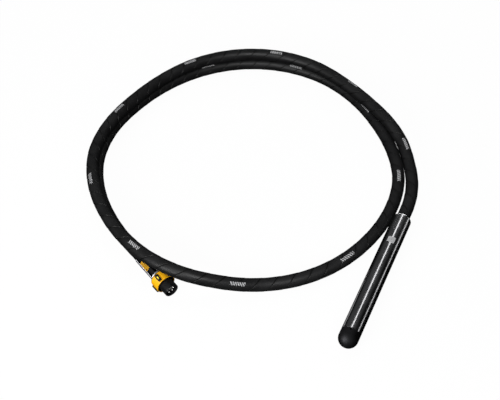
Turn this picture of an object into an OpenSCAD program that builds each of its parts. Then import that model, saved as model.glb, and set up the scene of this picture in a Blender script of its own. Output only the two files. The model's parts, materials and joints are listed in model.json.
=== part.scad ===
// High-frequency internal concrete vibrator: a steel poker head with a built-in three-phase motor,
// about five metres of protective hose lying in a coil of one and two thirds turns, and a round plug
// with a turning locking ring. It lies on the floor with +Z up. The origin is on the floor under the
// centre of the whole outline.

/* [Hose and cable] */
// Outside diameter of the protective hose
hose_d = 38; // [36:0.5:38]
// Inside diameter of the protective hose
hose_bore_d = 26; // [26:0.5:28]
// Outside diameter of the electric cable
cable_d = 15; // [14:0.5:15]
// Diameter of one insulated core of the cable
core_d = 3.8; // [3:0.1:3.8]

/* [Poker head] */
// Outside diameter of the head
head_d = 55; // [55:0.5:57]
// Overall length of the head
head_l = 470; // [468:1:480]
// Wall thickness of the head tube
tube_wall = 3.5; // [3.5:0.1:3.6]
// Length of the nose cap that shows outside the tube
nose_l = 45; // [42:1:50]
// Radius of the rounded shoulder at the hose end
shoulder_r = 8; // [5:0.5:8]
// Direction of the head on the floor, from hose to nose
head_heading = -114.95; // [-117:0.05:-113]

/* [Motor and bearings] */
// Diameter of the rotor shaft
shaft_d = 15; // [14:0.5:15]
// Outside diameter of the rotor core
rotor_d = 28; // [26:0.5:28]
// Number of stator slots
slots = 12; // [6:1:12]
// Number of rollers in each bearing
rollers = 11; // [8:1:11]
// Radius of the eccentric weight
weight_r = 21.5; // [18:0.5:22]

/* [Plug] */
// Outside diameter of the locking ring
ring_d = 57; // [56:0.5:58]
// Length of the locking ring
ring_l = 32; // [30:1:34]
// Outside diameter of the plug nose
plug_nose_d = 41; // [40:0.5:41]
// Outside diameter of the polished hose end tube
end_tube_d = 41.2; // [41:0.1:42]
// Direction of the plug on the floor, from hose to pins
plug_heading = -51.3; // [-53:0.1:-50]
// Side of the square that the four contact pins stand on
pin_square = 12; // [11:0.5:12.5]
// Diameter of a contact pin
pin_d = 4; // [3.5:0.5:4]

/* [Hidden] */
$fn = 64;

// ---- Clearances ----
slip = 0.03;  // radial gap of parts that turn on each other, and of fitted parts
loose = 0.15; // radial gap around rubber

// ---- Radii worked out from the driving sizes ----
hose_r = hose_d / 2;
bore_r = hose_bore_d / 2;
cable_r = cable_d / 2;
core_r = core_d / 2;
core_ring = 3.5;                        // radius of the circle that the four cores lie on
sheath_r = core_ring + core_r + 0.2;    // inside of the cable sheath
head_r = head_d / 2;
tube_r = head_r - tube_wall;            // bore of the head tube
inner_r = tube_r - 0.05;                // what slides into the head tube
shaft_r = shaft_d / 2;
hole_r = shaft_r + 0.02;                // bores pressed on the shaft
ring_r = ring_d / 2;
plug_nose_r = plug_nose_d / 2;
end_tube_r = end_tube_d / 2;
bar_h = 4;                              // how far the grip bars stand out of the locking ring
bar_top = ring_r + bar_h;

// ---- How the coil lies ----
coil_centre = [-4.38, 111.3, 0];
head_rear = coil_centre + [441.5, -259.5, head_r];
plug_rear = coil_centre + [-308.1, -399.6, bar_top + 0.1];
hose_tail = 30;  // straight hose behind the head
plug_tail = 20;  // straight hose behind the end tube

function unit(v) = v / norm(v);
function flat_dir(a) = [cos(a), sin(a), 0];
head_dir = flat_dir(head_heading);
plug_dir = flat_dir(plug_heading);

// Stations of the hose between its two straight tails: [angle round the coil, radius, height].
// The first turn climbs on to the second one, lies on top of it along the back and the left, crosses
// over the plug, and drops to the floor to become the second turn.
stations = [
    [-15, 503.5, 23.5], [-3, 490, 21.3], [6, 476.5, 37.2], [15, 455.5, 52.8], [26, 436.5, 57.6],
    [42, 429.5, 57.5], [60, 439.5, 58.5], [80, 446.5, 58.5], [100, 445, 58.5], [118, 438.5, 58.5],
    [134, 433, 58.5], [150, 439, 58.5], [166, 460.5, 58.5], [182, 482, 59], [198, 491, 60],
    [212, 497, 64.3], [224, 507, 71.2], [234, 518, 79.2], [242, 524.5, 84.2], [250, 523, 78],
    [258, 511.5, 60.4], [266, 498, 38.2], [275, 487, 21.2], [286, 485, 19.7], [300, 479.5, 19.1],
    [316, 471.5, 19.1], [332, 466, 19.1], [348, 460, 19.1], [364, 444, 19.1], [380, 433, 19.1],
    [398, 434.5, 19.1], [416, 441.5, 19.1], [436, 444, 19.1], [456, 442.5, 19.1], [474, 439, 19.1],
    [492, 438, 19.1], [508, 444.5, 19.1], [524, 461.5, 19.1], [542, 476.5, 19.3], [558, 480, 19.7],
    [571, 483.5, 24.3], [581, 490, 28.2]];
head_bend_to = 2;                    // the last station that bends with the head
plug_bend_from = len(stations) - 3;  // the first station that bends with the plug

function on_coil(s) = coil_centre + [s[1] * cos(s[0]), s[1] * sin(s[0]), s[2]];
hose_start = head_rear - hose_tail * head_dir;
hose_finish = plug_rear - plug_tail * plug_dir;
knots = concat([hose_start], [for (s = stations) on_coil(s)], [hose_finish]);
last_knot = len(knots) - 1;

// Direction of the circle through three neighbouring knots, at the middle one
function knot_dir(i) = i == 0 ? -head_dir : i == last_knot ? plug_dir :
    let (before = knots[i] - knots[i - 1], after = knots[i + 1] - knots[i])
    unit(unit(before) * norm(after) + unit(after) * norm(before));
function blend(p, q, dp, dq, t) = let (chord = norm(q - p))
    p * (2 * t * t * t - 3 * t * t + 1) + dp * chord * (t * t * t - 2 * t * t + t)
    + q * (3 * t * t - 2 * t * t * t) + dq * chord * (t * t * t - t * t);
function blend_dir(p, q, dp, dq, t) = let (chord = norm(q - p))
    unit((p - q) * (6 * t * t - 6 * t) + dp * chord * (3 * t * t - 4 * t + 1)
    + dq * chord * (3 * t * t - 2 * t));

// Frames [point, direction] along the hose from one knot to another
function run(first, final, steps) = [
    for (i = [first:final - 1]) for (k = [0:steps - 1]) let (t = k / steps)
        [blend(knots[i], knots[i + 1], knot_dir(i), knot_dir(i + 1), t),
         blend_dir(knots[i], knots[i + 1], knot_dir(i), knot_dir(i + 1), t)],
    [knots[final], knot_dir(final)]];

// The section at one frame: a polygon of the given radius, its centre moved off the line by
// off at the angle off_a
function section(frame, r, sides, off, off_a) =
    let (side = unit(cross(frame[1], [0, 0, 1])), top = cross(side, frame[1]),
        middle = frame[0] + off * (cos(off_a) * side + sin(off_a) * top))
    [for (k = [0:sides - 1]) middle + r * (cos(360 * k / sides) * side + sin(360 * k / sides) * top)];
function skin(count, sides, base, out) =
    [for (i = [0:count - 2]) for (k = [0:sides - 1])
        let (a = base + i * sides + k, b = base + i * sides + (k + 1) % sides)
        each out ? [[a, b, b + sides], [a, b + sides, a + sides]]
                 : [[a, b + sides, b], [a, a + sides, b + sides]]];

// A round rod or tube along the frames
module rod_along(frames, r, sides, off = 0, off_a = 0) {
    count = len(frames);
    final = (count - 1) * sides;
    polyhedron(
        [for (f = frames) each section(f, r, sides, off, off_a)],
        concat(skin(count, sides, 0, true), [[for (k = [0:sides - 1]) sides - 1 - k]],
            [[for (k = [0:sides - 1]) final + k]]));
}
module tube_along(frames, r_out, r_in, sides) {
    count = len(frames);
    far = count * sides;
    final = (count - 1) * sides;
    polyhedron(
        concat([for (f = frames) each section(f, r_out, sides, 0, 0)],
            [for (f = frames) each section(f, r_in, sides, 0, 0)]),
        concat(skin(count, sides, 0, true), skin(count, sides, far, false),
            [for (k = [0:sides - 1]) let (j = (k + 1) % sides)
                each [[k, far + j, j], [k, far + k, far + j]]],
            [for (k = [0:sides - 1]) let (j = (k + 1) % sides, a = final + k, b = final + j)
                each [[a, b, far + b], [a, far + b, far + a]]]));
}

hose_sides = 16;
cable_sides = 8;
core_sides = 5;
coil_frames = run(head_bend_to, plug_bend_from + 1, 2);
head_bend_frames = run(0, head_bend_to, 4);
plug_bend_frames = run(plug_bend_from + 1, last_knot, 4);
core_angles = [45, 135, 225, 315];

// ---- Places of the two ends ----
// Local +Z runs from the hose to the nose or the pins, and local -X is up.
module on_head() { translate(head_rear) rotate([0, 90, head_heading]) children(); }
module on_plug() { translate(plug_rear) rotate([0, 90, plug_heading]) children(); }

// A straight ring from z0 to z1
module ring(r_out, r_in, z0, z1) {
    translate([0, 0, z0]) difference() {
        cylinder(r = r_out, h = z1 - z0);
        translate([0, 0, -1]) cylinder(r = r_in, h = z1 - z0 + 2);
    }
}
module bar(r, z0, z1) { translate([0, 0, z0]) cylinder(r = r, h = z1 - z0); }
module around(count, r, start = 0) {
    for (i = [0:count - 1]) rotate(start + i * 360 / count) translate([r, 0, 0]) children();
}
// A round rod between two points
module rod(a, b, r) {
    along = b - a;
    translate(a) rotate([0, acos(along.z / norm(along)), atan2(along.y, along.x)])
        cylinder(r = r, h = norm(along));
}

// ---- Hose and cable ----
module hose_coil() { color("#1c1c1d") tube_along(coil_frames, hose_r, bore_r, hose_sides); }
module cable_coil() {
    color("#262626") tube_along(coil_frames, cable_r, sheath_r + 0.5, cable_sides);
}
module cores_along(frames) {
    for (a = core_angles) rod_along(frames, core_r, core_sides, core_ring, a);
}
module cable_cores() { color("#7a5230") cores_along(coil_frames); }
module hose_head_bend() {
    color("#1c1c1d") tube_along(head_bend_frames, hose_r, bore_r, hose_sides);
}
module hose_plug_bend() {
    color("#1c1c1d") tube_along(plug_bend_frames, hose_r, bore_r, hose_sides);
}
module cable_bend(frames) {
    tube_along(frames, cable_r, sheath_r + 0.5, cable_sides);
    cores_along(frames);
}
module cable_head_bend() { color("#262626") cable_bend(head_bend_frames); }
module cable_plug_bend() { color("#262626") cable_bend(plug_bend_frames); }

// ---- Poker head, outside ----
rear_l = 62;         // rear cap outside the tube
rear_spigot = 22;    // rear cap inside the tube
hose_in = 46;        // how far the hose goes into the rear cap
nose_z = head_l - nose_l;
nose_spigot = 17;
groove_w = 1.6;
o_ring_r = 0.7;      // half the thickness of an O-ring
rear_groove_z = rear_l + 4;
nose_groove_z = nose_z - 7;
spanner_r = 3;
spanner_z = nose_z + 5;

module o_ring(z) {
    translate([0, 0, z + groove_w / 2]) rotate_extrude()
        translate([inner_r - o_ring_r - 0.02, 0]) circle(o_ring_r);
}
module o_ring_groove(z) { ring(inner_r + 1, inner_r - 2 * o_ring_r - 0.04, z, z + groove_w); }

module head_tube() { color("#4a4b4d") on_head() ring(head_r, tube_r, rear_l + 0.1, nose_z - 0.1); }
module nose_cap() {
    color("#2f3032") on_head() difference() {
        union() {
            translate([0, 0, nose_z]) rotate_extrude() {
                square([head_r, nose_l - head_r]);
                translate([0, nose_l - head_r]) intersection() {
                    circle(head_r);
                    translate([0, -0.5]) square(head_r + 1);
                }
            }
            bar(inner_r, nose_z - nose_spigot, nose_z + 1);
        }
        bar(inner_r - 5, nose_z - nose_spigot - 1, nose_z + 12);
        o_ring_groove(nose_groove_z);
        for (a = [0, 180]) rotate(a) translate([head_r - 5, 0, spanner_z])
            rotate([0, 90, 0]) cylinder(r = spanner_r, h = 8);
    }
}
module nose_o_ring() { color("#161616") on_head() o_ring(nose_groove_z); }
module rear_cap() {
    color("#505154") on_head() difference() {
        union() {
            rotate_extrude() {
                translate([hose_r, shoulder_r]) square([head_r - hose_r, rear_l - shoulder_r]);
                translate([hose_r, 0]) square([head_r - shoulder_r - hose_r, rear_l]);
                intersection() {
                    translate([head_r - shoulder_r, shoulder_r]) circle(shoulder_r);
                    translate([hose_r, 0]) square([head_r, shoulder_r + 0.5]);
                }
            }
            bar(inner_r, hose_in + 4.2, rear_l + rear_spigot);
        }
        bar(hose_r + loose, -1, hose_in + 4.2);
        bar(15 + slip, 0, rear_l + 5);
        bar(18, rear_l + 4, rear_l + rear_spigot + 1);
        o_ring_groove(rear_groove_z);
    }
}
module rear_o_ring() { color("#161616") on_head() o_ring(rear_groove_z); }

// A turned hose nipple: a barbed barrel in the hose, a flange and a threaded spigot
module nipple(barrel_from, barrel_to, flange_to, spigot_to) {
    difference() {
        union() {
            for (z = [barrel_from:8:barrel_to - 9])
                translate([0, 0, z]) cylinder(r1 = bore_r - 1.4, r2 = bore_r - 0.45, h = 8);
            bar(bore_r - 1.4, barrel_from, barrel_to);
            bar(hose_r - 0.1, barrel_to, flange_to);
            bar(15, flange_to - 0.5, spigot_to);
        }
        bar(9, barrel_from - 1, spigot_to + 1);
    }
}
module head_hose_nipple() {
    color("#8c8d90") on_head() nipple(6, hose_in + 0.1, hose_in + 4, rear_l + 3);
}
module hose_head_end() {
    color("#1c1c1d") on_head() ring(hose_r, bore_r, -hose_tail + 0.05, hose_in);
}

// ---- Poker head, wiring ----
clamp_l = 10;
head_clamp_z = 88;
head_sheath_to = head_clamp_z + clamp_l + 3;
splice_z = head_sheath_to + 4;
splice_l = 14;

module cable_head_end() {
    color("#262626") on_head() ring(cable_r, sheath_r, -hose_tail + 0.05, head_sheath_to);
}
module head_cable_seal() {
    color("#161616") on_head()
        ring(18 - loose, cable_r + loose, rear_l + 5.2, rear_l + rear_spigot - 1);
}
// Two saddle halves that grip the cable, and their two screws
module cord_clamp(z) {
    for (side = [-1, 1]) difference() {
        translate([-14, side > 0 ? 0.3 : -9, z]) cube([28, 8.7, clamp_l]);
        bar(cable_r + slip, z - 1, z + clamp_l + 1);
        for (x = [-11, 11]) translate([x, -12, z + clamp_l / 2])
            rotate([-90, 0, 0]) cylinder(r = 1.55, h = 24);
    }
}
module clamp_screws(z) {
    for (x = [-11, 11]) translate([x, -8.5, z + clamp_l / 2]) rotate([-90, 0, 0]) difference() {
        union() {
            cylinder(r = 1.5, h = 17.55);
            translate([0, 0, 17.55]) cylinder(r = 2.6, h = 1.9);
        }
        translate([0, 0, 18.4]) cylinder(r = 1.3, h = 2, $fn = 6);
    }
}
module head_cord_clamp() { color("#8c8d90") on_head() cord_clamp(head_clamp_z); }
module head_clamp_screws() { color("#b9babd") on_head() clamp_screws(head_clamp_z); }
module head_lead_wires() {
    color("#7a5230") on_head() for (a = core_angles) rotate(a) translate([core_ring, 0, 0])
        bar(core_r, -hose_tail + 0.05, splice_z + splice_l / 2 - 0.1);
}
module splice_sleeves() {
    color("#3566a8") on_head() for (a = core_angles) rotate(a) translate([core_ring, 0, 0])
        ring(core_r + 0.45, core_r + slip, splice_z, splice_z + splice_l);
}

// ---- Motor ----
bearing_l = 11;
housing_l = 16;
upper_z = splice_z + splice_l + 10;
winding_l = 18;
stator_z = upper_z + housing_l + 24;
stator_l = 94;
middle_z = stator_z + stator_l + winding_l + 5;
lower_z = nose_z - nose_spigot - 21;
housings = [upper_z, middle_z, lower_z];
lead_ring = 20.7;   // radius of the circle where the leads pass the upper housing

// Leads from the splices, out past the upper bearing, to the windings
module motor_leads() {
    bend_z = splice_z + splice_l + 2.5;
    color("#a33b2c") on_head() for (a = core_angles) rotate(a) {
        translate([core_ring, 0, 0]) bar(core_r, splice_z + splice_l / 2, bend_z);
        translate([core_ring, 0, bend_z]) sphere(core_r + 0.1);
        rod([core_ring, 0, bend_z], [lead_ring, 0, upper_z - 3], core_r);
        translate([lead_ring, 0, upper_z - 3]) sphere(core_r + 0.1);
        translate([lead_ring, 0, 0]) bar(core_r, upper_z - 3, stator_z - winding_l - 0.1);
    }
}
module thermal_switch() {
    color("#d8d4c4") on_head() translate([10, -6, splice_z - 2]) difference() {
        cube([5, 12, 12]);
        translate([2.5, 3, 8]) cylinder(r = 0.8, h = 5);
        translate([2.5, 9, 8]) cylinder(r = 0.8, h = 5);
    }
}
slot_r = 2.6;
slot_ring = 18.6;
module stator_core() {
    color("#6f7276") on_head() difference() {
        ring(inner_r, rotor_d / 2 + 0.25, stator_z, stator_z + stator_l);
        around(slots, slot_ring) bar(slot_r, stator_z - 1, stator_z + stator_l + 1);
    }
}
module stator_windings() {
    color("#b4672c") on_head() {
        for (z = [stator_z - winding_l, stator_z + stator_l + 0.05])
            ring(22.4, 15, z, z + winding_l - 0.05);
        around(slots, slot_ring) bar(slot_r - 0.05, stator_z - 2, stator_z + stator_l + 2);
    }
}

// ---- Bearings ----
race_out = 17.5;
race_in = 10.5;
roller_ring = 12.5;
roller_r = 1.97;
bearing_in = 2.5;   // where a bearing starts inside its housing

module housing(z, lead_holes) {
    difference() {
        bar(inner_r, z, z + housing_l);
        bar(12, z - 1, z + housing_l + 1);
        bar(race_out + 0.02, z + bearing_in, z + housing_l + 1);
        ring(race_out + 0.9, race_out - 1, z + 13.6, z + 14.9);
        if (lead_holes) for (a = core_angles) rotate(a) translate([lead_ring, 0, 0])
            bar(core_r + 0.2, z - 1, z + housing_l + 1);
    }
}
module upper_bearing_housing() { color("#9a9ca0") on_head() housing(upper_z, true); }
module middle_bearing_housing() { color("#9a9ca0") on_head() housing(middle_z, false); }
module lower_bearing_housing() { color("#9a9ca0") on_head() housing(lower_z, false); }
module at_bearings() {
    on_head() for (z = housings) translate([0, 0, z + bearing_in + 0.02]) children();
}
module bearing_outer_rings() { color("#c3c5c9") at_bearings() ring(race_out, 14.5, 0, bearing_l); }
module bearing_inner_rings() { color("#c3c5c9") at_bearings() ring(race_in, hole_r, 0, bearing_l); }
module bearing_rollers() {
    color("#d6d8dc") at_bearings() around(rollers, roller_ring) bar(roller_r, 1.5, 9.5);
}
module roller_cages() {
    color("#b08d4f") at_bearings() difference() {
        ring(13.4, 11.6, 0.5, 10.5);
        around(rollers, roller_ring) bar(roller_r + 0.05, 1.4, 9.6);
    }
}
// Open retaining rings that hold the bearings in their housings
module housing_circlips() {
    color("#5d5f63") on_head() for (z = housings) difference() {
        ring(race_out + 0.85, 15.4, z + 13.65, z + 14.85);
        translate([0, -2, z + 13]) cube([30, 4, 3]);
    }
}
module preload_washer() {
    color("#8c8d90") on_head()
        ring(inner_r - 1, inner_r - 5.5, lower_z + housing_l + 0.2, nose_z - nose_spigot - 0.2);
}

// ---- Rotor ----
shaft_from = upper_z + 1;
shaft_to = lower_z + housing_l + 2;
weight_z = middle_z + housing_l + 4;
weight_l = lower_z - 4 - weight_z;
hub_r = 11;
key_l = 30;
key_w = 4;
clip_t = 1.2;
clip_places = [weight_z - clip_t - 0.2, weight_z + weight_l + 0.2];

module key_space(extra) {
    translate([-9.5 - extra, -key_w / 2 - extra, weight_z + weight_l / 2 - key_l / 2 - extra])
        cube([4 + 2 * extra, key_w + 2 * extra, key_l + 2 * extra]);
}
module rotor_shaft() {
    color("#9fa1a5") on_head() difference() {
        bar(shaft_r, shaft_from, shaft_to);
        key_space(0.02);
        for (z = clip_places) ring(shaft_r + 1, shaft_r - 0.45, z - 0.05, z + clip_t + 0.05);
        bar(2.5, shaft_from - 1, shaft_from + 6);
        bar(2.5, shaft_to - 6, shaft_to + 1);
    }
}
module rotor_core() {
    color("#7c7f83") on_head() ring(rotor_d / 2, hole_r, stator_z + 2, stator_z + stator_l - 2);
}
module rotor_end_rings() {
    color("#c9cbce") on_head() for (z = [stator_z - 8, stator_z + stator_l - 1.95])
        ring(rotor_d / 2 - 0.6, shaft_r + 1.5, z, z + 9.95);
}
module eccentric_weight() {
    color("#7f8185") on_head() difference() {
        union() {
            bar(hub_r, weight_z, weight_z + weight_l);
            intersection() {
                bar(weight_r, weight_z, weight_z + weight_l);
                translate([1, -30, weight_z]) cube([30, 60, weight_l]);
            }
        }
        bar(hole_r, weight_z - 1, weight_z + weight_l + 1);
        key_space(0.02);
    }
}
module weight_key() { color("#c3c5c9") on_head() key_space(0); }
module shaft_circlips() {
    color("#5d5f63") on_head() for (z = clip_places) difference() {
        ring(shaft_r + 2.2, shaft_r - 0.4, z, z + clip_t);
        translate([-20, -2, z - 1]) cube([20, 4, clip_t + 2]);
    }
}

// ---- Plug, steel hose end ----
tube_end = 80;       // length of the polished end tube
hose_plug_in = 58;   // how far the hose goes into it
collar_l = 6;
body_z = tube_end + collar_l + 0.2;
module hose_plug_end() {
    color("#1c1c1d") on_plug() ring(hose_r, bore_r, -plug_tail + 0.05, hose_plug_in);
}
module hose_end_tube() {
    color("#55575a") on_plug() difference() {
        bar(end_tube_r, 0, tube_end);
        bar(hose_r + loose, -1, hose_plug_in + 6.2);
        bar(15 + slip, hose_plug_in, tube_end + 1);
    }
}
// The label covers part of the upper, outer side of the end tube
module rating_label() {
    color("#e8b21c") on_plug() translate([0, 0, 22])
        rotate_extrude(angle = 42, start = 210) translate([end_tube_r + 0.02, 0]) square([0.3, 34]);
}
module plug_hose_nipple() {
    color("#8c8d90") on_plug() nipple(6, hose_plug_in + 0.1, hose_plug_in + 6, body_z + 8);
}
module collar_nut() {
    color("#d2d4d7") on_plug() translate([0, 0, tube_end + 0.1]) rotate_extrude()
        polygon([[15 + slip, 0], [21.6, 0], [22.4, 0.8], [22.4, collar_l - 0.8], [21.6, collar_l],
            [15 + slip, collar_l]]);
}

// ---- Plug, body and contacts ----
seat_r = 23.2;                    // the ring turns on this
cavity_r = 25.4;                  // inside of the ring, in front of its lip
seat_to = body_z + 15;
nose_end = body_z + 60;
chamber_r = 17.6;
insert_z = nose_end - 24;
insert_l = 10;
plug_clamp_z = body_z + 10.3;
plug_sheath_to = plug_clamp_z + clamp_l + 1;
pin_back = insert_z - 4;          // where the pins start, behind the insert
pin_turn = -12;                   // how far the square of pins is turned
retainer_z = body_z + 12.2;

module plug_body() {
    color("#1a1a1b") on_plug() difference() {
        rotate_extrude() polygon([[15 + slip, body_z], [seat_r - 0.6, body_z], [seat_r, body_z + 0.6],
            [seat_r, seat_to], [plug_nose_r, seat_to], [plug_nose_r, nose_end - 1.5],
            [plug_nose_r - 1.5, nose_end], [chamber_r, nose_end], [chamber_r, body_z + 10],
            [15 + slip, body_z + 10]]);
        ring(seat_r + 1, seat_r - 1.5, retainer_z, retainer_z + 1.5);
    }
}
module pin_places(list) {
    rotate(pin_turn) for (p = list)
        translate([p[0] * pin_square / 2, p[1] * pin_square / 2, 0]) children();
}
phase_corners = [[1, 1], [-1, 1], [-1, -1]];
earth_corner = [[1, -1]];
module contact_insert() {
    color("#232324") on_plug() difference() {
        bar(chamber_r - slip, insert_z, insert_z + insert_l);
        pin_places(concat(phase_corners, earth_corner))
            bar(pin_d / 2 + slip, insert_z - 1, insert_z + insert_l + 1);
    }
}
module insert_gasket() {
    color("#161616") on_plug()
        ring(chamber_r - loose, 12.5, insert_z + insert_l + 0.05, insert_z + insert_l + 1.6);
}
module phase_pins() {
    color("#d8c79a") on_plug() pin_places(phase_corners) bar(pin_d / 2, pin_back, nose_end - 5);
}
module earth_pin() {
    color("#d8c79a") on_plug() pin_places(earth_corner) bar(pin_d / 2, pin_back, nose_end - 3);
}
module cable_plug_end() {
    color("#262626") on_plug() ring(cable_r, sheath_r, -plug_tail + 0.05, plug_sheath_to);
}
module plug_cord_clamp() { color("#232324") on_plug() cord_clamp(plug_clamp_z); }
module plug_clamp_screws() { color("#b9babd") on_plug() clamp_screws(plug_clamp_z); }
module plug_lead_wires() {
    fan_from = [core_ring, 0, plug_sheath_to + 1];
    pin_ring = pin_square / sqrt(2);
    fan_to = [pin_ring * cos(pin_turn), pin_ring * sin(pin_turn), pin_back - 3];
    color("#7a5230") on_plug() for (a = core_angles) rotate(a) {
        translate([core_ring, 0, 0]) bar(core_r, -plug_tail + 0.05, fan_from.z);
        translate(fan_from) sphere(core_r + 0.1);
        rod(fan_from, fan_to, core_r);
        translate(fan_to) sphere(core_r + 0.1);
        translate([fan_to.x, fan_to.y, 0]) bar(core_r, fan_to.z, pin_back - 0.1);
    }
}

// ---- Locking ring ----
ring_z = body_z + 1;
ring_lip = 10;
bar_turn = 208;     // angle of the grip bar that faces up
module ring_retainer() {
    color("#8c8d90") on_plug() difference() {
        ring(seat_r + 1.8, seat_r - 1.4, retainer_z + 0.1, retainer_z + 1.4);
        rotate(bar_turn + 180) translate([0, -2.5, retainer_z - 1]) cube([40, 5, 4]);
    }
}
module locking_ring() {
    color("#e8a90f") on_plug() {
        translate([0, 0, ring_z]) rotate_extrude() polygon([[seat_r + slip, 0], [ring_r - 1.2, 0],
            [ring_r, 1.2], [ring_r, ring_l - 1.2], [ring_r - 1.2, ring_l], [cavity_r, ring_l],
            [cavity_r, ring_lip], [seat_r + slip, ring_lip]]);
        for (a = [0, 120, 240]) translate([0, 0, ring_z + ring_l - 11])
            rotate_extrude(angle = 38, start = bar_turn + 30 + a)
                translate([cavity_r - 1.8, 0]) square([2.2, 4.5]);
    }
}
// Four grip bars along the ring, standing proud of it and a little short of its front edge
bar_w = 11.5;
bar_from = ring_z + 5;
bar_to = ring_z + ring_l - 3;
module grip_bars() {
    long = bar_to - bar_from;
    color("#1a1a1b") on_plug() for (i = [0:3]) rotate(bar_turn + 90 * i) intersection() {
        ring(bar_top, ring_r + 0.02, bar_from, bar_to);
        translate([ring_r - 2, 0, bar_from]) rotate([90, 0, 90]) linear_extrude(height = 12)
            polygon([[-bar_w / 2, 0], [bar_w / 2, 0], [bar_w / 2, long - 3.5], [bar_w / 2 - 1.4, long - 1],
                [bar_w / 2 - 3.6, long], [3.6 - bar_w / 2, long], [1.4 - bar_w / 2, long - 1],
                [-bar_w / 2, long - 3.5]]);
    }
}
mark_l = 9;
mark_w = 3.4;
mark_from = (bar_from + bar_to - mark_l) / 2;
module index_mark() {
    color("#e8b21c") on_plug() rotate(bar_turn) intersection() {
        ring(bar_top + 0.25, bar_top + 0.02, mark_from, mark_from + mark_l);
        translate([bar_top - 5, -mark_w / 2, mark_from - 1]) cube([10, mark_w, mark_l + 2]);
    }
}

hose_coil();
cable_coil();
cable_cores();
hose_head_bend();
cable_head_bend();
hose_plug_bend();
cable_plug_bend();
head_tube();
nose_cap();
nose_o_ring();
rear_cap();
rear_o_ring();
head_hose_nipple();
hose_head_end();
cable_head_end();
head_cable_seal();
head_cord_clamp();
head_clamp_screws();
head_lead_wires();
splice_sleeves();
motor_leads();
thermal_switch();
stator_core();
stator_windings();
upper_bearing_housing();
middle_bearing_housing();
lower_bearing_housing();
bearing_outer_rings();
housing_circlips();
preload_washer();
rotor_shaft();
rotor_core();
rotor_end_rings();
eccentric_weight();
weight_key();
bearing_inner_rings();
shaft_circlips();
bearing_rollers();
roller_cages();
hose_plug_end();
cable_plug_end();
hose_end_tube();
rating_label();
plug_hose_nipple();
collar_nut();
plug_cord_clamp();
plug_clamp_screws();
plug_lead_wires();
plug_body();
contact_insert();
insert_gasket();
phase_pins();
earth_pin();
ring_retainer();
locking_ring();
grip_bars();
index_mark();
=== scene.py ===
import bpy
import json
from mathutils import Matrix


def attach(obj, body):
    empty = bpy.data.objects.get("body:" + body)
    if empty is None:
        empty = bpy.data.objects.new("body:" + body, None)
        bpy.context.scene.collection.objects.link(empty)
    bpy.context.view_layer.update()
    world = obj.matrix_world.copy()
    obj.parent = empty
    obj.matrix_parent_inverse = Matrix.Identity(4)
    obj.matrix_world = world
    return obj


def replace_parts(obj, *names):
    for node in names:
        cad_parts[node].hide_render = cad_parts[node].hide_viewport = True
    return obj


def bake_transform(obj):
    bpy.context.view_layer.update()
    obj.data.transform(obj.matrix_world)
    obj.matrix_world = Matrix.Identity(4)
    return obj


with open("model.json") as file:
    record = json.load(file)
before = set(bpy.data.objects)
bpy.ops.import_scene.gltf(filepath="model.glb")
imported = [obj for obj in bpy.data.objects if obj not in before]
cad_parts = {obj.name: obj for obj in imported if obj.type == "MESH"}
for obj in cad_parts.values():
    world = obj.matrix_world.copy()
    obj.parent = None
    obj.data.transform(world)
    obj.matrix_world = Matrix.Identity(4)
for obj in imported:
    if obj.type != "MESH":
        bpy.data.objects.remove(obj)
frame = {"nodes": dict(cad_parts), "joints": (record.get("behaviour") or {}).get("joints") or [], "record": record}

# Looks of an internal concrete vibrator: a dark steel poker head, about five metres of wrapped rubber
# hose in a coil, and a round plug with a yellow locking ring.
import copy
import json
import math

import bmesh
import bpy
import numpy as np
from mathutils import Matrix, Vector

MM = 0.001
TURN = 2 * math.pi
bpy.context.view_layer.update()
JOINTS = {joint["name"]: joint for joint in frame["joints"]}

CAMERA_DROP = math.radians(49.5)      # the camera looks down this much below the horizon
CAMERA_DISTANCE = 2.553               # from the point that it looks at
CAMERA_LENS = 62.35                   # mm, on a 36 mm sensor
CAMERA_AIM = Vector((-0.00784, -0.09169, 0.05))
TO_CAMERA = Vector((0, -math.cos(CAMERA_DROP), math.sin(CAMERA_DROP)))


# ---- Places, read from the CAD frame ----

def points_of(node):
    """Vertex positions of a CAD node, one row each."""
    return np.array([v.co for v in frame["nodes"][node].data.vertices], float)


class Axle:
    """The own frame of a straight end: z runs along its axis from its rear face, and x is down."""

    def __init__(self, joint, rear_node):
        self.z = Vector(JOINTS[joint]["axis"]).normalized()
        self.x = Vector((0, 0, -1))
        self.y = self.z.cross(self.x)
        on_axis = Vector(JOINTS[joint]["pos_m"])
        along = (points_of(rear_node) - np.array(on_axis)) @ np.array(self.z)
        self.origin = on_axis + self.z * along.min()

    def at(self, z, r=0.0, angle=0.0):
        return (self.origin + self.z * z
                + (self.x * math.cos(angle) + self.y * math.sin(angle)) * r)

    def span(self, node):
        """Lowest and highest z, and smallest and largest radius, of a CAD node."""
        p = points_of(node) - np.array(self.origin)
        z = p @ np.array(self.z)
        r = np.hypot(p @ np.array(self.x), p @ np.array(self.y))
        return z.min(), z.max(), r.min(), r.max()

    def angle_to(self, direction):
        return math.atan2(direction.dot(self.y), direction.dot(self.x))

    def beside(self, point):
        """The parallel axle through a point."""
        axle = copy.copy(self)
        axle.origin = point - self.z * (point - self.origin).dot(self.z)
        return axle


HEAD = Axle("rotor_spin", "rear_cap")
PLUG = Axle("ring_turn", "hose_end_tube")


# ---- Mesh tools ----

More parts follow.
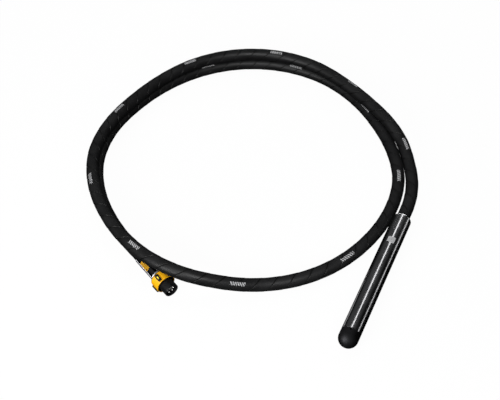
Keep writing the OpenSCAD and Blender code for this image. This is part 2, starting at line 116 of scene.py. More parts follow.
def make_piece(name, verts, faces, body, slot, straight, facing=None, crease=35, material=None):
    """A smooth-shaded closed mesh object that keeps its sharp edges sharp. It has its slot's material
    unless another is given. straight holds each vertex's place on the unrolled part, and facing its
    place beside the side that the hose shows; materials lay their marks out on these."""
    bm = bmesh.new()
    labelled = [("straight", straight)] + ([("facing", facing)] if facing else [])
    for label, _ in labelled:
        bm.verts.layers.float_vector.new(label)
    made = [bm.verts.new(v) for v in verts]
    for label, values in labelled:
        layer = bm.verts.layers.float_vector[label]
        for vert, value in zip(made, values):
            vert[layer] = Vector(value)
    for face in faces:
        bm.faces.new([made[i] for i in face])
    bmesh.ops.remove_doubles(bm, verts=bm.verts, dist=1e-6)
    bmesh.ops.recalc_face_normals(bm, faces=bm.faces)
    for face in bm.faces:
        face.smooth = True
    for edge in bm.edges:
        if edge.is_manifold and edge.calc_face_angle() > math.radians(crease):
            edge.smooth = False
    mesh = bpy.data.meshes.new(name)
    bm.to_mesh(mesh)
    bm.free()
    mesh.materials.append(material or MATERIALS[slot])
    obj = bpy.data.objects.new(name, mesh)
    bpy.context.scene.collection.objects.link(obj)
    if body:
        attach(obj, body)
    return obj


def rounded(corners, steps=4):
    """Outline through (z, r, radius) corners, each with a radius turned into an arc."""
    outline = []
    for i, (z, r, radius) in enumerate(corners):
        here = Vector((z, r))
        if not radius:
            outline.append(here)
            continue
        before = Vector(corners[i - 1][:2]) - here
        after = Vector(corners[(i + 1) % len(corners)][:2]) - here
        reach = radius / math.tan(before.angle(after) / 2)
        reach = min(reach, 0.49 * before.length, 0.49 * after.length)
        a, b = here + before.normalized() * reach, here + after.normalized() * reach
        for k in range(steps + 1):
            t = k / steps
            outline.append(a * (1 - t) ** 2 + here * 2 * t * (1 - t) + b * t ** 2)
    return outline


def with_supports(outline, near=0.7 * MM, longest=25 * MM):
    """The outline with extra points next to the ends of its long sides, so that smooth shading
    stays flat along them."""
    fuller = []
    for i, here in enumerate(outline):
        fuller.append(tuple(here))
        here, after = Vector(here), Vector(outline[(i + 1) % len(outline)])
        length = (after - here).length
        if length < 3.5 * near or here[1] + after[1] < 1e-9:
            continue
        inner = max(1, round(length / longest))
        for t in ([near] + [near + (length - 2 * near) * k / inner for k in range(1, inner)]
                  + [length - near]):
            fuller.append(tuple(here + (after - here) * (t / length)))
    return fuller


def lathe(name, axle, outline, body, slot, steps=96):
    """Turns a closed outline of (z, r) points round an axle. Points with r 0 meet at the axis."""
    verts, straight, faces = [], [], []
    outline = with_supports(outline)
    count = len(outline)
    for k in range(steps):
        angle = TURN * k / steps
        for z, r in outline:
            verts.append(axle.at(z, r, angle))
            straight.append((z, r * math.cos(angle), r * math.sin(angle)))
    for k in range(steps):
        after = (k + 1) % steps
        for i in range(count):
            j = (i + 1) % count
            on_axis = [outline[i][1] < 1e-9, outline[j][1] < 1e-9]
            if all(on_axis):
                continue
            a, b, c, d = k * count + i, k * count + j, after * count + j, after * count + i
            faces.append([a, b, c] if on_axis[0] else [a, b, d] if on_axis[1] else [a, b, c, d])
    return make_piece(name, verts, faces, body, slot, straight)


def closed_grid(rows, columns):
    """Faces of a tube made of rings of vertices, without its ends."""
    return [[i * columns + k, i * columns + (k + 1) % columns,
             (i + 1) * columns + (k + 1) % columns, (i + 1) * columns + k]
            for i in range(rows - 1) for k in range(columns)]


# ---- The hose's line ----

GRID = 1e5          # vertices whose places round to the same 1/GRID m count as one


def clusters(node, longest=math.inf):
    """Groups of a CAD node's vertices that edges shorter than a length join. Returns the places, the
    groups as lists of indices, and the edges that were left out as pairs of group numbers."""
    mesh = frame["nodes"][node].data
    keys, index = {}, []
    for v in mesh.vertices:
        index.append(keys.setdefault(tuple(round(c * GRID) for c in v.co), len(keys)))
    place = np.zeros((len(keys), 3))
    for v, i in zip(mesh.vertices, index):
        place[i] = v.co
    parent = list(range(len(keys)))

    def root(i):
        while parent[i] != i:
            parent[i] = parent[parent[i]]
            i = parent[i]
        return i

    left_out = []
    for edge in mesh.edges:
        a, b = (index[i] for i in edge.vertices)
        if np.linalg.norm(place[a] - place[b]) < longest:
            parent[root(a)] = root(b)
        else:
            left_out.append((a, b))
    groups = {}
    for i in range(len(keys)):
        groups.setdefault(root(i), []).append(i)
    number = {name: i for i, name in enumerate(groups)}
    return place, list(groups.values()), [(number[root(a)], number[root(b)]) for a, b in left_out]


def islands(node):
    """Centre of each separate solid of a CAD node, from places on the grid."""
    place, groups, _ = clusters(node)
    place = np.round(place * GRID) / GRID
    return [Vector((place[i].min(0) + place[i].max(0)) / 2) for i in groups]


def sections(node):
    """Centres of a CAD tube's cross-sections, in order along it. Edges round a section are short,
    and edges along the tube are long."""
    longest_round = 7.6 * MM
    same_section = 2 * MM
    place, groups, long_edges = clusters(node, longest_round)
    centres, number = [], []
    for inside in groups:
        centre = place[inside].mean(0)
        near = [i for i, c in enumerate(centres) if np.linalg.norm(c - centre) < same_section]
        number.append(near[0] if near else len(centres))
        if not near:
            centres.append(centre)
    beside = {i: set() for i in range(len(centres))}
    for a, b in long_edges:
        i, j = number[a], number[b]
        if i != j:
            beside[i].add(j)
            beside[j].add(i)
    order = [min(i for i in beside if len(beside[i]) == 1)]
    while len(order) < len(centres):
        order.append(next(i for i in beside[order[-1]] if i not in order))
    return np.array([centres[i] for i in order])


def smooth_line(knots, step):
    """Points and directions every step along a smooth curve through the knots."""
    chord = np.linalg.norm(np.diff(knots, axis=0), axis=1)
    unit = np.diff(knots, axis=0) / chord[:, None]
    inner = unit[:-1] * chord[1:, None] + unit[1:] * chord[:-1, None]
    heading = np.vstack([unit[:1], inner, unit[-1:]])
    heading /= np.linalg.norm(heading, axis=1)[:, None]
    fine = []
    per_chord = 24
    for i, length in enumerate(chord):
        for t in np.linspace(0, 1, per_chord, endpoint=False):
            fine.append(knots[i] * (2 * t ** 3 - 3 * t ** 2 + 1)
                        + heading[i] * length * (t ** 3 - 2 * t ** 2 + t)
                        + knots[i + 1] * (3 * t ** 2 - 2 * t ** 3)
                        + heading[i + 1] * length * (t ** 3 - t ** 2))
    fine = np.array(fine + [knots[-1]])
    run = np.concatenate([[0], np.cumsum(np.linalg.norm(np.diff(fine, axis=0), axis=1))])
    places = np.linspace(0, run[-1], round(run[-1] / step) + 1)
    line = np.stack([np.interp(places, run, fine[:, c]) for c in range(3)], 1)
    direction = np.gradient(line, axis=0)
    return places, line, direction / np.linalg.norm(direction, axis=1)[:, None]


def straight_end(axle, node, steps=6):
    """Centres along a straight end of the hose, from inside its fitting outwards."""
    low, high, _, _ = axle.span(node)
    return np.array([axle.at(z) for z in np.linspace(high, low, steps)])


def toward(chain, near):
    """The chain turned round, if needed, so that it starts near a point."""
    flip = np.linalg.norm(chain[0] - near) > np.linalg.norm(chain[-1] - near)
    return chain[::-1] if flip else chain


HOSE_STEP = 4 * MM
head_end = straight_end(HEAD, "hose_head_end")
head_bend = toward(sections("hose_head_bend"), head_end[-1])
coil = toward(sections("hose_coil"), head_bend[-1])
plug_bend = toward(sections("hose_plug_bend"), coil[-1])
plug_end = straight_end(PLUG, "hose_plug_end")[::-1]
hose_knots = np.vstack([head_end, head_bend[1:], coil[1:], plug_bend[1:], plug_end[1:]])
HOSE_S, HOSE_P, HOSE_T = smooth_line(hose_knots, HOSE_STEP)
HOSE_SIDE = np.cross(HOSE_T, (0, 0, 1))
HOSE_SIDE /= np.linalg.norm(HOSE_SIDE, axis=1)[:, None]
HOSE_TOP = np.cross(HOSE_SIDE, HOSE_T)
HOSE_FACING = np.arctan2(HOSE_TOP @ np.array(TO_CAMERA), HOSE_SIDE @ np.array(TO_CAMERA))


def nearest_step(point):
    return int(np.argmin(np.linalg.norm(HOSE_P - point, axis=1)))


# The printed blocks: how far along the hose each one is, and how far its line has turned outward
# from the side that faces the camera. The shader counts blocks, PRINT_EVERY per block.
PRINT_EVERY = 315 * MM
PRINT_TURNS = {0: (0.348, 18), 1: (0.636, 52), 2: (0.936, 28), 3: (1.24, 32), 4: (1.556, 30),
               5: (1.868, 15), 6: (2.175, -24), 7: (2.487, -9), 8: (2.819, -14), 9: (3.183, -7),
               12: (4.119, 30), 16: (5.37, 0)}
BEFORE_FIRST = -0.4        # the print stops short of the block that would be inside the head
print_place, print_turn = np.array(list(PRINT_TURNS.values())).T
PRINT_RUN = PRINT_EVERY * np.maximum(BEFORE_FIRST, np.interp(
    HOSE_S, np.append(print_place[0] - PRINT_EVERY, print_place), np.append(-1, list(PRINT_TURNS))))
PRINT_TURN = np.radians(np.interp(HOSE_S, print_place, print_turn))

HEAD_CUT = nearest_step(coil[0])
PLUG_CUT = nearest_step(coil[-1])
RUNS = {"head": (0, HEAD_CUT), "main": (HEAD_CUT, PLUG_CUT), "plug": (PLUG_CUT, len(HOSE_S) - 1)}


def place_run(obj, run):
    """The middle of the hose is attached to the coil; the runs at its ends are baked in place."""
    if run == "main":
        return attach(obj, "coil")
    if run == "head":
        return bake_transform(obj)
    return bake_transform(obj)


def swept(name, run, rings, slot, hollow=None, limits=None):
    """A closed rod or tube along one run of the hose. rings(i) gives the angles and radii of the
    outer surface at step i; hollow is the radius of the bore; limits cuts the run shorter."""
    first, last = limits or RUNS[run]
    steps = range(first, last + 1)
    verts, straight, facing = [], [], []

    def add_ring(i, angles, radii):
        for a, r in zip(angles, radii):
            verts.append(HOSE_P[i] + r * (math.cos(a) * HOSE_SIDE[i] + math.sin(a) * HOSE_TOP[i]))
            straight.append((HOSE_S[i], r * math.cos(a), r * math.sin(a)))
            off = a - HOSE_FACING[i] + PRINT_TURN[i]
            facing.append((PRINT_RUN[i], r * math.cos(off), r * math.sin(off)))

    for i in steps:
        add_ring(i, *rings(i))
    columns = len(rings(first)[0])
    rows = len(steps)
    faces = closed_grid(rows, columns)
    end = (rows - 1) * columns
    if hollow:
        base = len(verts)
        inner_steps = sorted(set(list(steps)[::4] + [last]))
        for i in inner_steps:
            add_ring(i, rings(i)[0], [hollow] * columns)
        faces += [[base + v for v in face] for face in closed_grid(len(inner_steps), columns)]
        inner_end = base + (len(inner_steps) - 1) * columns
        for k in range(columns):
            j = (k + 1) % columns
            faces.append([k, j, base + j, base + k])
            faces.append([end + k, end + j, inner_end + j, inner_end + k])
    else:
        faces.append(list(range(columns)))
        faces.append([end + k for k in range(columns)])
    obj = make_piece(name, verts, faces, None, slot, straight, facing, crease=50)
    return place_run(obj, run)


# ---- Material tools ----

def wire(tree, kind, inputs=None, **settings):
    """Adds a shader node. An input is a value or another node's output."""
    node = tree.nodes.new("ShaderNode" + kind)
    for key, value in settings.items():
        setattr(node, key, value)
    for key, value in (inputs or {}).items():
        if isinstance(value, bpy.types.NodeSocket):
            tree.links.new(value, node.inputs[key])
        else:
            node.inputs[key].default_value = value
    return node


def math_node(tree, operation, *values):
    return wire(tree, "Math", dict(enumerate(values)), operation=operation).outputs[0]


def times(tree, *values):
    return math_node(tree, "MULTIPLY", *values)


def coordinates(tree, attribute=None):
    """Object coordinates, or the unrolled ones that a piece carries."""
    if attribute:
        return wire(tree, "Attribute", attribute_name=attribute).outputs["Vector"]
    return wire(tree, "TexCoord").outputs["Object"]


def noise(tree, vector, scale, detail=4.0, roughness=0.55, stretch=None):
    if stretch:
        vector = wire(tree, "Mapping", {"Vector": vector, "Scale": stretch}).outputs[0]
    made = wire(tree, "TexNoise", {"Vector": vector, "Scale": scale, "Detail": detail,
                                   "Roughness": roughness})
    return made.outputs["Fac"]


def between(tree, value, low, high, from_low=0.0, from_high=1.0):
    """The value remapped and clamped."""
    return wire(tree, "MapRange", {"Value": value, "From Min": from_low, "From Max": from_high,
                                   "To Min": low, "To Max": high}).outputs[0]


def mix_colour(tree, factor, first, second, blend="MIX"):
    node = wire(tree, "Mix", data_type="RGBA", blend_type=blend)
    for key, value in ((0, factor), (6, first), (7, second)):
        if isinstance(value, bpy.types.NodeSocket):
            tree.links.new(value, node.inputs[key])
        else:
            node.inputs[key].default_value = value if key == 0 else (*value, 1)
    return node.outputs[2]


def toned(colour, by, plus=0.0):
    """The colour made darker or brighter, and at most white."""
    return tuple(min(1, c * by + plus) for c in colour)


def bump(tree, height, distance, strength=1.0, normal=None):
    inputs = {"Height": height, "Distance": distance, "Strength": strength}
    if normal is not None:
        inputs["Normal"] = normal
    return wire(tree, "Bump", inputs).outputs[0]


def edge_mask(tree, radius):
    """A mask that is 1 on worn edges and 0 on flats, from the angle between the rounded and the true
    normal, and the rounded normal itself."""
    soft = wire(tree, "Bevel", {"Radius": radius}, samples=4).outputs[0]
    true = wire(tree, "NewGeometry").outputs["Normal"]
    dot = wire(tree, "VectorMath", {0: soft, 1: true}, operation="DOT_PRODUCT").outputs["Value"]
    return between(tree, dot, 1.0, 0.0, 0.86, 0.995), soft


def finish_material(tree, **inputs):
    """The Principled surface; input names have _ for spaces."""
    shader = wire(tree, "BsdfPrincipled", {k.replace("_", " "): v for k, v in inputs.items()})
    wire(tree, "OutputMaterial", {0: shader.outputs[0]})


def new_material(name, viewport=(0.5, 0.5, 0.5)):
    material = bpy.data.materials.new(name)
    material.use_nodes = True
    material.node_tree.nodes.clear()
    material.diffuse_color = (*viewport, 1)
    return material, material.node_tree


# ---- Materials ----

def steel(name, colour, roughness, marks, wear, attribute=None, grain=1.0, metallic=1.0,
          rounded_already=False):
    """Machined, ground or polished metal. Turned marks run round the axis of the unrolled part,
    drawn marks run along it, and cast ones have no direction. Pieces that are modelled with round
    edges keep their own normals; CAD pieces get round edges in the shading."""
    material, tree = new_material(name, colour)
    place = coordinates(tree, attribute)
    stretch = {"turned": (9, 0.35, 0.35), "drawn": (0.08, 6, 6), "cast": (1, 1, 1)}[marks]
    lines = noise(tree, place, 420, 3, 0.6, stretch)
    cloud = noise(tree, place, 26, 4, 0.6)
    speck = noise(tree, place, 900, 2, 0.5)
    worn, soft = edge_mask(tree, 0.5 * MM)
    tone = mix_colour(tree, between(tree, cloud, 0, 1, 0.3, 0.7), toned(colour, 0.72), colour)
    tone = mix_colour(tree, between(tree, lines, 0, 0.35, 0.35, 0.75), tone, toned(colour, 1.35))
    tone = mix_colour(tree, times(tree, worn, wear), tone, toned(colour, 1.9, 0.12))
    rough = math_node(tree, "ADD", between(tree, cloud, roughness * 0.75, roughness * 1.25, 0.3, 0.7),
                      between(tree, lines, -0.01 * grain, 0.03 * grain, 0.3, 0.7))
    rough = math_node(tree, "MAXIMUM", rough, 0.04)
    height = math_node(tree, "ADD", lines, times(tree, speck, 0.4))
    normal = bump(tree, height, 0.006 * MM * grain, 0.5, None if rounded_already else soft)
    finish_material(tree, Base_Color=tone, Metallic=metallic, Roughness=rough, Normal=normal)
    return material


def plastic(name, colour, roughness, grain, wear, dust=0.04, rounded_already=False):
    """Moulded plastic: fine spark-eroded grain, a slight tone drift, and edges rubbed smoother."""
    material, tree = new_material(name, colour)
    place = coordinates(tree)
    pits = wire(tree, "TexVoronoi", {"Vector": place, "Scale": 1500.0}).outputs["Distance"]
    fine = noise(tree, place, 2600, 2, 0.5)
    cloud = noise(tree, place, 38, 4, 0.6)
    worn, soft = edge_mask(tree, 0.6 * MM)
    tone = mix_colour(tree, between(tree, cloud, 0, 1, 0.3, 0.7), toned(colour, 0.86),
                      toned(colour, 1.1, 0.004))
    tone = mix_colour(tree, times(tree, worn, wear), tone, toned(colour, 1.25, 0.03))
    film = between(tree, noise(tree, place, 90, 6, 0.7), 0, dust, 0.52, 0.75)
    tone = mix_colour(tree, film, tone, (0.55, 0.52, 0.48))
    rough = math_node(tree, "SUBTRACT",
                      between(tree, cloud, roughness * 0.85, roughness * 1.15, 0.3, 0.7),
                      times(tree, worn, 0.08))
    height = math_node(tree, "ADD", pits, fine)
    normal = bump(tree, height, 0.012 * MM * grain, 0.6, None if rounded_already else soft)
    finish_material(tree, Base_Color=tone, Roughness=rough, Specular_IOR_Level=0.5, Normal=normal)
    return material


def soft_rubber(name, colour, roughness=0.62):
    """Plain moulded rubber of seals and cable sheaths."""
    material, tree = new_material(name, colour)
    place = coordinates(tree)
    cloud = noise(tree, place, 60, 5, 0.65)
    fine = noise(tree, place, 1400, 3, 0.6)
    tone = mix_colour(tree, between(tree, cloud, 0, 1, 0.35, 0.7), toned(colour, 0.7),
                      toned(colour, 1.6, 0.004))
    rough = between(tree, cloud, roughness * 0.85, min(1, roughness * 1.15), 0.3, 0.7)
    normal = bump(tree, fine, 0.03 * MM, 0.5)
    finish_material(tree, Base_Color=tone, Roughness=rough, Specular_IOR_Level=0.4, Normal=normal)
    return material


HOSE_BORE, HOSE_OUT = HEAD.span("hose_head_end")[2:]
CLOTH_WAVES = 2340         # radians per metre of the cloth imprint, a thread every 2.7 mm
WRAP_LEAD = 103 * MM       # one turn of each of the two cover strips along the hose
PRINT_LENGTH = 43 * MM
PRINT_WIDTH = 10 * MM
PRINT_BAR = 6.6 * MM       # from one slanted bar to the next
PRINT_SHARE = 0.62         # how much of that is ink


def hose_rubber():
    """Wrapped hose cover: cloth imprint across the strips, dark strip joints with painted shade in the
    groove beside each, dust, scuffs, and printed blocks of slanted bars."""
    material, tree = new_material("hose_rubber", (0.03, 0.03, 0.032))
    place = coordinates(tree, "straight")
    parts = wire(tree, "SeparateXYZ", {0: place})
    angle = math_node(tree, "ARCTAN2", parts.outputs[2], parts.outputs[1])
    round_turns = math_node(tree, "DIVIDE", angle, TURN)
    along_turns = math_node(tree, "DIVIDE", parts.outputs[0], WRAP_LEAD)
    strip = math_node(tree, "FRACT", times(tree, 2.0, math_node(
        tree, "SUBTRACT", round_turns, along_turns)))
    from_joint = math_node(tree, "MINIMUM", strip, math_node(tree, "SUBTRACT", 1.0, strip))
    joint = between(tree, from_joint, 1, 0, 0.02, 0.05)
    # painted shade: the cover darkens in the groove beside each strip joint
    painted_groove_shade = between(tree, from_joint, 1, 0, 0.02, 0.16)
    # Cloth imprint: threads across and along the strip
    around = times(tree, angle, HOSE_OUT)
    warp = math_node(tree, "SINE", times(tree, CLOTH_WAVES, math_node(
        tree, "ADD", parts.outputs[0], around)))
    weft = math_node(tree, "SINE", times(tree, CLOTH_WAVES, math_node(
        tree, "SUBTRACT", parts.outputs[0], around)))
    cloth = times(tree, warp, weft)
    cloud = noise(tree, place, 14, 5, 0.6)
    scuff = noise(tree, place, 70, 6, 0.72, (0.35, 1, 1))
    fine = noise(tree, place, 1100, 3, 0.6)
    tone = mix_colour(tree, between(tree, cloud, 0, 1, 0.35, 0.68), (0.0055, 0.0055, 0.0058),
                      (0.0115, 0.0115, 0.012))
    tone = mix_colour(tree, between(tree, scuff, 0, 0.25, 0.58, 0.78), tone, (0.04, 0.039, 0.038))
    # the painted shade in the groove beside each joint
    tone = mix_colour(tree, times(tree, painted_groove_shade, 0.45), tone, (0.003, 0.003, 0.003))
    tone = mix_colour(tree, joint, tone, (0.002, 0.002, 0.002))
    # Printed blocks on the side that the hose shows
    seen = wire(tree, "SeparateXYZ", {0: coordinates(tree, "facing")})
    block = math_node(tree, "FRACT", math_node(tree, "ADD", math_node(
        tree, "DIVIDE", seen.outputs[0], PRINT_EVERY), 0.5))
    off = times(tree, math_node(tree, "SUBTRACT", block, 0.5), PRINT_EVERY)
    in_length = math_node(tree, "LESS_THAN", math_node(tree, "ABSOLUTE", off), PRINT_LENGTH / 2)
    across = seen.outputs[2]
    in_width = math_node(tree, "LESS_THAN", math_node(tree, "ABSOLUTE", across), PRINT_WIDTH / 2)
    in_front = math_node(tree, "GREATER_THAN", seen.outputs[1], 0.0)
    slant = math_node(tree, "FRACT", math_node(tree, "DIVIDE", math_node(
        tree, "ADD", off, times(tree, across, 0.5)), PRINT_BAR))
    bar = math_node(tree, "LESS_THAN", slant, PRINT_SHARE)
    ink = times(tree, times(tree, in_length, in_width),
                    times(tree, in_front, bar))
    rubbed = between(tree, noise(tree, place, 420, 4, 0.7), 0.25, 0.95, 0.35, 0.6)
    ink = times(tree, ink, rubbed)
    tone = mix_colour(tree, ink, tone, (0.58, 0.58, 0.59))
    rough = between(tree, cloud, 0.38, 0.52, 0.3, 0.7)
    rough = math_node(tree, "ADD", rough, between(tree, scuff, 0, 0.18, 0.5, 0.8))
    height = math_node(tree, "ADD", times(tree, cloth, 0.6), fine)
    normal = bump(tree, height, 0.045 * MM, 0.5)
    finish_material(tree, Base_Color=tone, Roughness=rough, Specular_IOR_Level=0.35, Normal=normal)
    return material


def waves_along_head(tree, place, every):
    """An angle that grows by a whole turn at every so many metres along the head's axis."""
    along = wire(tree, "VectorMath", {0: place, 1: tuple(HEAD.z)}, operation="DOT_PRODUCT")
    return times(tree, along.outputs["Value"], TURN / every)


def laminated(name, colour):
    """Stacked electrical sheet: thin layers across the axis of the head."""
    material, tree = new_material(name, colour)
    place = coordinates(tree)
    layer = math_node(tree, "SINE", waves_along_head(tree, place, every=1 * MM))
    cloud = noise(tree, place, 60, 4, 0.6)
    tone = mix_colour(tree, between(tree, layer, 0, 1, -0.6, 0.6), toned(colour, 0.45), colour)
    tone = mix_colour(tree, between(tree, cloud, 0, 0.4, 0.45, 0.7), tone, (0.16, 0.11, 0.08))
    finish_material(tree, Base_Color=tone, Metallic=0.85, Roughness=between(tree, cloud, 0.35, 0.6),
                    Normal=bump(tree, layer, 0.05 * MM, 0.6))
    return material


def wound(name, colour):
    """Varnished magnet wire laid round the bobbin, with painted shade in the grooves between turns."""
    material, tree = new_material(name, colour)
    place = coordinates(tree)
    twist = noise(tree, place, 50, 3, 0.6)
    turns = math_node(tree, "ADD", waves_along_head(tree, place, every=0.9 * MM),
                      times(tree, twist, 9.0))
    wire_round = math_node(tree, "SINE", turns)
    # painted shade: the colour darkens in the grooves between wire turns
    tone = mix_colour(tree, between(tree, wire_round, 0, 1, -0.8, 0.6), toned(colour, 0.3), colour)
    finish_material(tree, Base_Color=tone, Metallic=0.8, Roughness=between(tree, twist, 0.22, 0.42),
                    Normal=bump(tree, wire_round, 0.22 * MM, 0.8))
    return material


# Pieces turned or moulded here carry their unrolled places and their own round edges.
ON_PIECE = {"attribute": "straight", "rounded_already": True}
CLEAN = {"dust": 0.0, "rounded_already": True}

MATERIALS = {
    "hose_rubber": hose_rubber(),
    "cable_rubber": soft_rubber("cable_rubber", (0.022, 0.022, 0.022)),
    "seal_rubber": soft_rubber("seal_rubber", (0.014, 0.014, 0.014), 0.5),
    "lamination_steel": laminated("lamination_steel", (0.36, 0.36, 0.38)),
    "copper_winding": wound("copper_winding", (0.72, 0.32, 0.14)),
}
for slot, colour, roughness, marks, wear, options in (
        ("head_steel", (0.23, 0.23, 0.235), 0.19, "drawn", 0.2, {**ON_PIECE, "grain": 0.05}),
        ("nose_steel", (0.075, 0.075, 0.08), 0.58, "cast", 0.4, {"grain": 0.6}),
        ("tube_steel", (0.13, 0.13, 0.14), 0.16, "drawn", 0.2, {**ON_PIECE, "grain": 0.05}),
        ("machined_steel", (0.46, 0.46, 0.47), 0.28, "turned", 0.5, {}),
        ("spring_steel", (0.16, 0.16, 0.18), 0.36, "turned", 0.5, {}),
        ("zinc_steel", (0.62, 0.62, 0.66), 0.3, "cast", 0.5, {}),
        ("bearing_steel", (0.72, 0.72, 0.74), 0.14, "turned", 0.3, {}),
        ("cage_brass", (0.62, 0.41, 0.16), 0.26, "turned", 0.4, {}),
        ("weight_steel", (0.30, 0.30, 0.31), 0.4, "turned", 0.6, {"grain": 2.0}),
        ("cast_aluminium", (0.66, 0.67, 0.69), 0.48, "cast", 0.4, {"grain": 5.0}),
        ("collar_chrome", (0.82, 0.83, 0.85), 0.28, "turned", 0.2,
         {**ON_PIECE, "grain": 0.1, "metallic": 0.55}),
        ("contact_metal", (0.9, 0.88, 0.84), 0.25, "turned", 0.2,
         {**ON_PIECE, "grain": 0.2, "metallic": 0.6})):
    MATERIALS[slot] = steel(slot, colour, roughness, marks, wear, **options)
for slot, colour, roughness, grain, wear, options in (
        ("core_insulation", (0.20, 0.085, 0.035), 0.38, 0.5, 0.35, {}),
        ("lead_insulation", (0.42, 0.045, 0.03), 0.4, 0.5, 0.35, {}),
        ("sleeve_plastic", (0.04, 0.12, 0.40), 0.35, 0.5, 0.35, {}),
        ("switch_plastic", (0.62, 0.58, 0.46), 0.45, 1.0, 0.35, {}),
        ("label_yellow", (0.80, 0.40, 0.012), 0.32, 0.2, 0.1, CLEAN),
        ("plug_plastic", (0.008, 0.008, 0.009), 0.34, 1.0, 0.4, {}),
        ("insert_plastic", (0.008, 0.008, 0.009), 0.45, 1.0, 0.4, {}),
        ("ring_yellow", (0.98, 0.46, 0.006), 0.33, 0.3, 0.15, CLEAN),
        ("grip_black", (0.006, 0.006, 0.006), 0.40, 1.0, 0.3, {**CLEAN, "dust": 0.02}),
        ("mark_yellow", (0.90, 0.72, 0.06), 0.35, 0.4, 0.35, {})):
    MATERIALS[slot] = plastic(slot, colour, roughness, grain, wear, **options)
PRINT_INK = plastic("print_ink", (0.16, 0.08, 0.008), 0.4, 0.3, 0.1, **CLEAN)
ETCHED = steel("etched_steel", (0.74, 0.74, 0.75), 0.6, "cast", 0.3, metallic=0.0,
               rounded_already=True)
ETCHED_DARK = steel("etched_dark_steel", (0.52, 0.52, 0.53), 0.5, "cast", 0.3, metallic=0.2,
                    rounded_already=True)


def mark_sharp_edges(mesh, angle=math.radians(28)):
    """Marks the edges where two faces meet at more than the angle, or where a face ends."""
    faces = {}
    for face in mesh.polygons:
        for key in face.edge_keys:
            faces.setdefault(key, []).append(face.normal)
    flags = []
    for edge in mesh.edges:
        sides = faces.get(edge.key, [])
        flags.append(len(sides) != 2 or sides[0].angle(sides[1], 0) > angle)
    mesh.attributes.new("sharp_edge", "BOOLEAN", "EDGE").data.foreach_set("value", flags)


def dress_cad_nodes():
    """Every carried-over CAD node gets its slot's material."""
    slots = {part["node"]: part["material_slot"] for part in frame["record"]["subparts"]}
    for name, obj in frame["nodes"].items():
        slot = slots[name]
        obj.material_slots[0].material = MATERIALS[slot]
        for face in obj.data.polygons:
            face.use_smooth = True
        mark_sharp_edges(obj.data)


# ---- Hose and cable ----

def wrap_section():
    """Angles and height offsets of one hose section: two strips, each lapped over the next."""
    lap = 0.5 * MM
    angles, offsets = [], []
    for strip in range(2):
        start = strip * 180.0
        for degree, height in ((0, -1.7), (1.6, -1.5), (3.4, 0.2), (6.0, 0.75)):
            angles.append(math.radians(start + degree))
            offsets.append(height * lap)
        for degree in np.linspace(13, 172, 23):
            angles.append(math.radians(start + degree))
            offsets.append(lap * (0.75 - 0.95 * (degree - 6) / 171))
        angles.append(math.radians(start + 177.4))
        offsets.append(-0.45 * lap)
    return np.array(angles), np.array(offsets)


def build_hose():
    """The hose in three runs: one attached to the coil, and one at each end."""
    angles, offsets = wrap_section()

    def cover(i):
        twist = TURN * HOSE_S[i] / WRAP_LEAD
        return angles + twist, HOSE_OUT + offsets

    stands_for = {"head": ("hose_head_bend", "hose_head_end"), "main": ("hose_coil",),
                  "plug": ("hose_plug_bend", "hose_plug_end")}
    for run, nodes in stands_for.items():
        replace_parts(swept(f"hose_{run}_run", run, cover, "hose_rubber", HOSE_BORE), *nodes)


def build_cable():
    """The cable and its four cores inside the hose."""
    _, _, sheath_in, sheath_out = HEAD.span("cable_head_end")
    _, _, core_low, core_high = HEAD.span("head_lead_wires")
    core_off, core_r = (core_high + core_low) / 2, (core_high - core_low) / 2
    sides = np.linspace(0, TURN, 24, endpoint=False)
    core_sides = np.linspace(0, TURN, 12, endpoint=False)
    stands_for = {"head": ("cable_head_bend", (nearest_step(head_bend[0]), HEAD_CUT)),
                  "main": ("cable_coil", RUNS["main"]),
                  "plug": ("cable_plug_bend", (PLUG_CUT, nearest_step(plug_bend[-1])))}
    for run, (node, limits) in stands_for.items():
        sheath = swept(f"cable_{run}_run", run, lambda i: (sides, np.full(len(sides), sheath_out)),
                       "cable_rubber", sheath_in + 0.3 * MM, limits)
        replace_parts(sheath, node)
        for core in range(4):
            lay = math.radians(45 + 90 * core)
            x = core_off * math.cos(lay) + core_r * np.cos(core_sides)
            y = core_off * math.sin(lay) + core_r * np.sin(core_sides)
            rod = swept(f"core_{core + 1}_{run}_run", run,
                        lambda i, x=x, y=y: (np.arctan2(y, x), np.hypot(x, y)),
                        "core_insulation", limits=limits)
            if run == "main":
                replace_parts(rod, "cable_cores")


# ---- Poker head ----

GAP = 0.15 * MM            # round rubber that sits in a bore


def grooved(ring_node, axle, radius):
    """Outline corners of an O-ring groove in a spigot of this radius."""
    low, high, inside, _ = axle.span(ring_node)
    floor = inside - 0.02 * MM
    return [(low - 0.1 * MM, radius, 0), (low - 0.1 * MM, floor, 0),
            (high + 0.1 * MM, floor, 0), (high + 0.1 * MM, radius, 0)]


SIDE_STEPS = 10     # points along each straight side of a pad, so that it follows the round surface
INWARD_STEPS = 6    # rings of faces from a pad's edge to its middle


def rounded_rectangle(half, corner, steps):
    """Points round a rectangle with half its sides given, each corner an arc of so many steps."""
    loop = []
    reach = max(corner, 0.02 * MM)
    for sx, sy, start in ((1, 1, 0), (-1, 1, 90), (-1, -1, 180), (1, -1, 270)):
        for k in range(steps + 1):
            a = math.radians(start + 90 * k / steps)
            loop.append((sx * (half[0] - reach) + reach * math.cos(a),
                         sy * (half[1] - reach) + reach * math.sin(a)))
    full = []
    for k, (here, there) in enumerate(zip(loop, loop[1:] + loop[:1])):
        parts = SIDE_STEPS if k % (steps + 1) == steps else 1
        full += [tuple(a + (b - a) * t / parts for a, b in zip(here, there)) for t in range(parts)]
    return full


